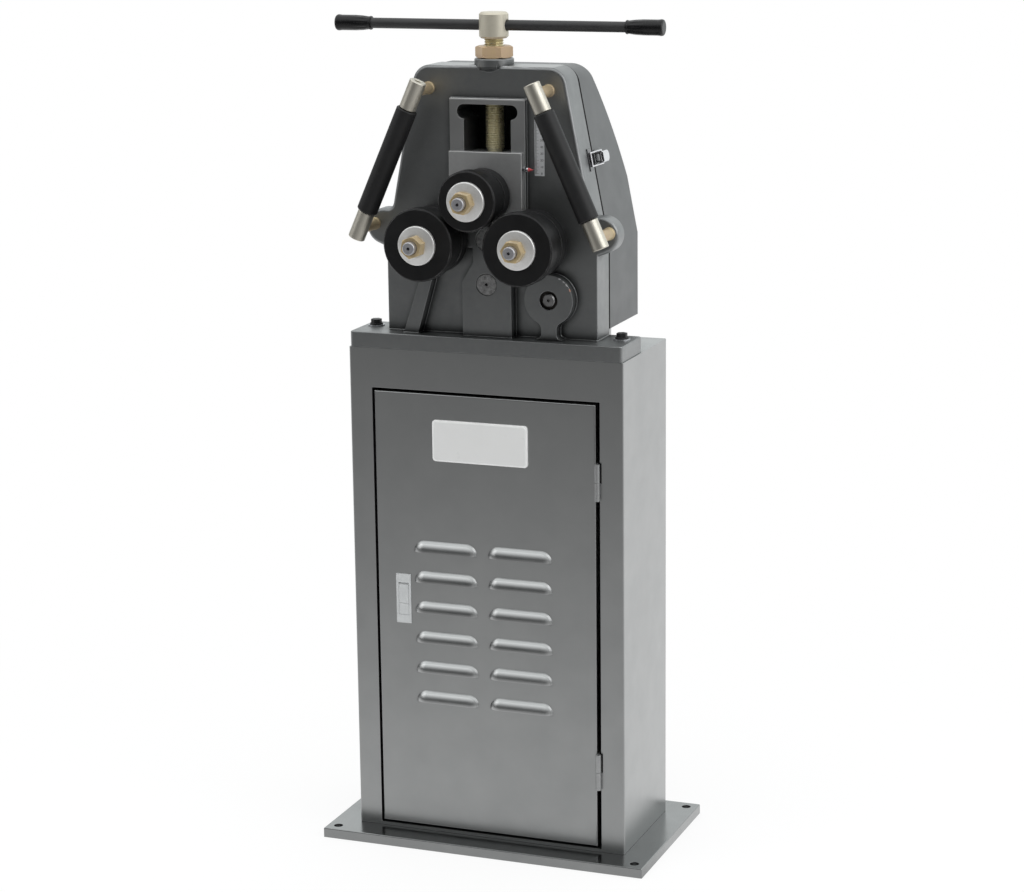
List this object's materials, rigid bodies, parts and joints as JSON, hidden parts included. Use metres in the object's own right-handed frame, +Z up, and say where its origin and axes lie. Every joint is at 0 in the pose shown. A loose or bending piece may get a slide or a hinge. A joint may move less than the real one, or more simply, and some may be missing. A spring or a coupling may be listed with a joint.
{
  "type": "manual ring roller on stand",
  "caption": "Manual three-roll ring roller: geared bottom rolls, screw-fed top roll, side guides and T-handle on a cast head bolted to a louvred cabinet stand.",
  "frame": {"origin": "centre of the base plate's underside", "axes": "+Z up, -Y towards the operator, +X to the operator's right"},
  "size_m": [0.5381, 0.47, 1.31],
  "materials": {
    "paint": "satin metallic grey paint",
    "blackened": "blackened steel",
    "bright": "turned steel",
    "nickel": "satin nickel plate",
    "zinc": "yellow zinc plate",
    "machined": "machined iron",
    "bronze": "bronze",
    "rubber": "matt black",
    "scale": "satin aluminium",
    "chrome": "bright chrome",
    "pointer": "red paint on a steel screw"
  },
  "bodies": {
    "stand": {"base_plate": "paint", "cabinet_shell": "paint", "hinge_frame_halves": "paint", "main_casting": "paint", "head_bolts": "blackened", "head_washers": "bright", "idler_axles": "bright", "axle_clips": "blackened", "shaft_bushes": "bronze", "guide_studs": "zinc", "depth_scale": "scale", "gear_cover": "paint", "cover_rest_pins": "blackened", "toggle_keeper": "chrome", "toggle_base": "chrome"},
    "slide": {"slide_block": "machined", "slide_keeper": "machined", "keeper_screws": "blackened", "top_bush": "bronze", "depth_pointer": "pointer", "screw_retaining_pins": "bright"},
    "screw": {"lead_screw": "zinc", "screw_hub": "nickel"},
    "t_handle": {"t_bar": "blackened", "bar_grips": "rubber"},
    "jam_nut": {"lock_nut": "zinc"},
    "top_roll_set": {"top_shaft": "bright", "top_roll": "blackened", "top_washer": "bright", "top_nut": "zinc", "top_collar": "bright"},
    "idler_one": {"idler_gear_1": "machined"},
    "idler_two": {"idler_gear_2": "machined"},
    "crank": {"crank_shaft": "bright", "crank_arm": "blackened"},
    "crank_handle": {"crank_grip": "rubber"},
    "door": {"door_panel": "paint", "latch_housing": "scale", "hinge_door_halves": "paint"},
    "door_lever": {"latch_lever": "scale"},
    "door_button": {"latch_button": "scale"},
    "toggle": {"toggle_lever": "chrome"},
    "bail": {"toggle_bail": "chrome"},
    "left_roll_set": {"left_shaft": "bright", "left_roll": "blackened", "left_washer": "bright", "left_nut": "zinc", "left_key": "bright", "left_gear": "machined"},
    "left_guide": {"left_guide_bar": "nickel"},
    "left_guide_sleeve": {"left_sleeve": "rubber"},
    "right_roll_set": {"right_shaft": "bright", "right_roll": "blackened", "right_washer": "bright", "right_nut": "zinc", "right_key": "bright", "right_gear": "machined"},
    "right_guide": {"right_guide_bar": "nickel"},
    "right_guide_sleeve": {"right_sleeve": "rubber"}
  },
  "joints": [
    {"name": "right_roll_spin", "type": "hinge", "parent": "stand", "child": "right_roll_set", "pos_m": [0.08, -0.165, 0.97], "axis": [0, 1, 0], "continuous": true},
    {"name": "left_roll_spin", "type": "hinge", "parent": "stand", "child": "left_roll_set", "pos_m": [-0.08, -0.165, 0.97], "axis": [0, 1, 0], "continuous": true},
    {"name": "idler_one_spin", "type": "hinge", "parent": "stand", "child": "idler_one", "pos_m": [0, -0.008, 0.97], "axis": [0, 1, 0], "continuous": true},
    {"name": "idler_two_spin", "type": "hinge", "parent": "stand", "child": "idler_two", "pos_m": [0, -0.008, 0.902], "axis": [0, 1, 0], "continuous": true},
    {"name": "crank_turn", "type": "hinge", "parent": "stand", "child": "crank", "pos_m": [0.10014, 0.016, 0.88262], "axis": [0, 1, 0], "continuous": true},
    {"name": "crank_handle_spin", "type": "hinge", "parent": "crank", "child": "crank_handle", "pos_m": [0.10014, 0.156, 0.63262], "axis": [0, 1, 0], "continuous": true},
    {"name": "head_slide", "type": "slide", "parent": "stand", "child": "slide", "axis": [0, 0, 1], "range_m": [-0.003, 0.06]},
    {"name": "top_roll_spin", "type": "hinge", "parent": "slide", "child": "top_roll_set", "pos_m": [0, -0.165, 1.039], "axis": [0, 1, 0], "continuous": true},
    {"name": "screw_turn", "type": "hinge", "parent": "slide", "child": "screw", "pos_m": [0, -0.0425, 1.1], "axis": [0, 0, 1], "range_deg": [-310, 6175]},
    {"name": "t_bar_slide", "type": "slide", "parent": "screw", "child": "t_handle", "axis": [1, 0, 0], "range_m": [-0.187, 0.177]},
    {"name": "lock_nut_turn", "type": "hinge", "parent": "stand", "child": "jam_nut", "pos_m": [0, -0.0425, 1.2415], "axis": [0, 0, 1], "range_deg": [0, 90]},
    {"name": "door_swing", "type": "hinge", "parent": "stand", "child": "door", "pos_m": [0.18375, -0.107, 0.021], "axis": [0, 0, 1], "range_deg": [0, 110]},
    {"name": "door_lever_pull", "type": "hinge", "parent": "door", "child": "door_lever", "pos_m": [-0.14, -0.102, 0.421], "axis": [-1, 0, 0], "range_deg": [0, 45]},
    {"name": "door_button_press", "type": "slide", "parent": "door", "child": "door_button", "axis": [0, 1, 0], "range_m": [0, 0.004], "stiffness_N_per_m": 400},
    {"name": "toggle_open", "type": "hinge", "parent": "stand", "child": "toggle", "pos_m": [0.15378, 0.002, 1.09133], "axis": [0.1895, 0, -0.9819], "range_deg": [0, 130]},
    {"name": "bail_swing", "type": "hinge", "parent": "toggle", "child": "bail", "pos_m": [0.15378, 0.009, 1.09133], "axis": [0.1895, 0, -0.9819], "range_deg": [-130, 0]},
    {"name": "left_guide_slide", "type": "slide", "parent": "stand", "child": "left_guide", "axis": [0, -1, 0], "range_m": [0, 0.015]},
    {"name": "left_sleeve_spin", "type": "hinge", "parent": "left_guide", "child": "left_guide_sleeve", "pos_m": [-0.09026, -0.1245, 1.21156], "axis": [-0.4083, 0, -0.9128], "continuous": true},
    {"name": "right_guide_slide", "type": "slide", "parent": "stand", "child": "right_guide", "axis": [0, -1, 0], "range_m": [0, 0.015]},
    {"name": "right_sleeve_spin", "type": "hinge", "parent": "right_guide", "child": "right_guide_sleeve", "pos_m": [0.09026, -0.1245, 1.21156], "axis": [0.4083, 0, -0.9128], "continuous": true}
  ],
  "couplings": [
    {"joint": "left_roll_spin", "follows": "right_roll_spin", "ratio": 1},
    {"joint": "idler_one_spin", "follows": "right_roll_spin", "ratio": -1.5},
    {"joint": "idler_two_spin", "follows": "right_roll_spin", "ratio": 1.3333},
    {"joint": "crank_turn", "follows": "right_roll_spin", "ratio": -2.0667},
    {"joint": "screw_turn", "follows": "head_slide", "rad_per_m": 1795.2},
    {"joint": "bail_swing", "follows": "toggle_open", "ratio": -1}
  ]
}
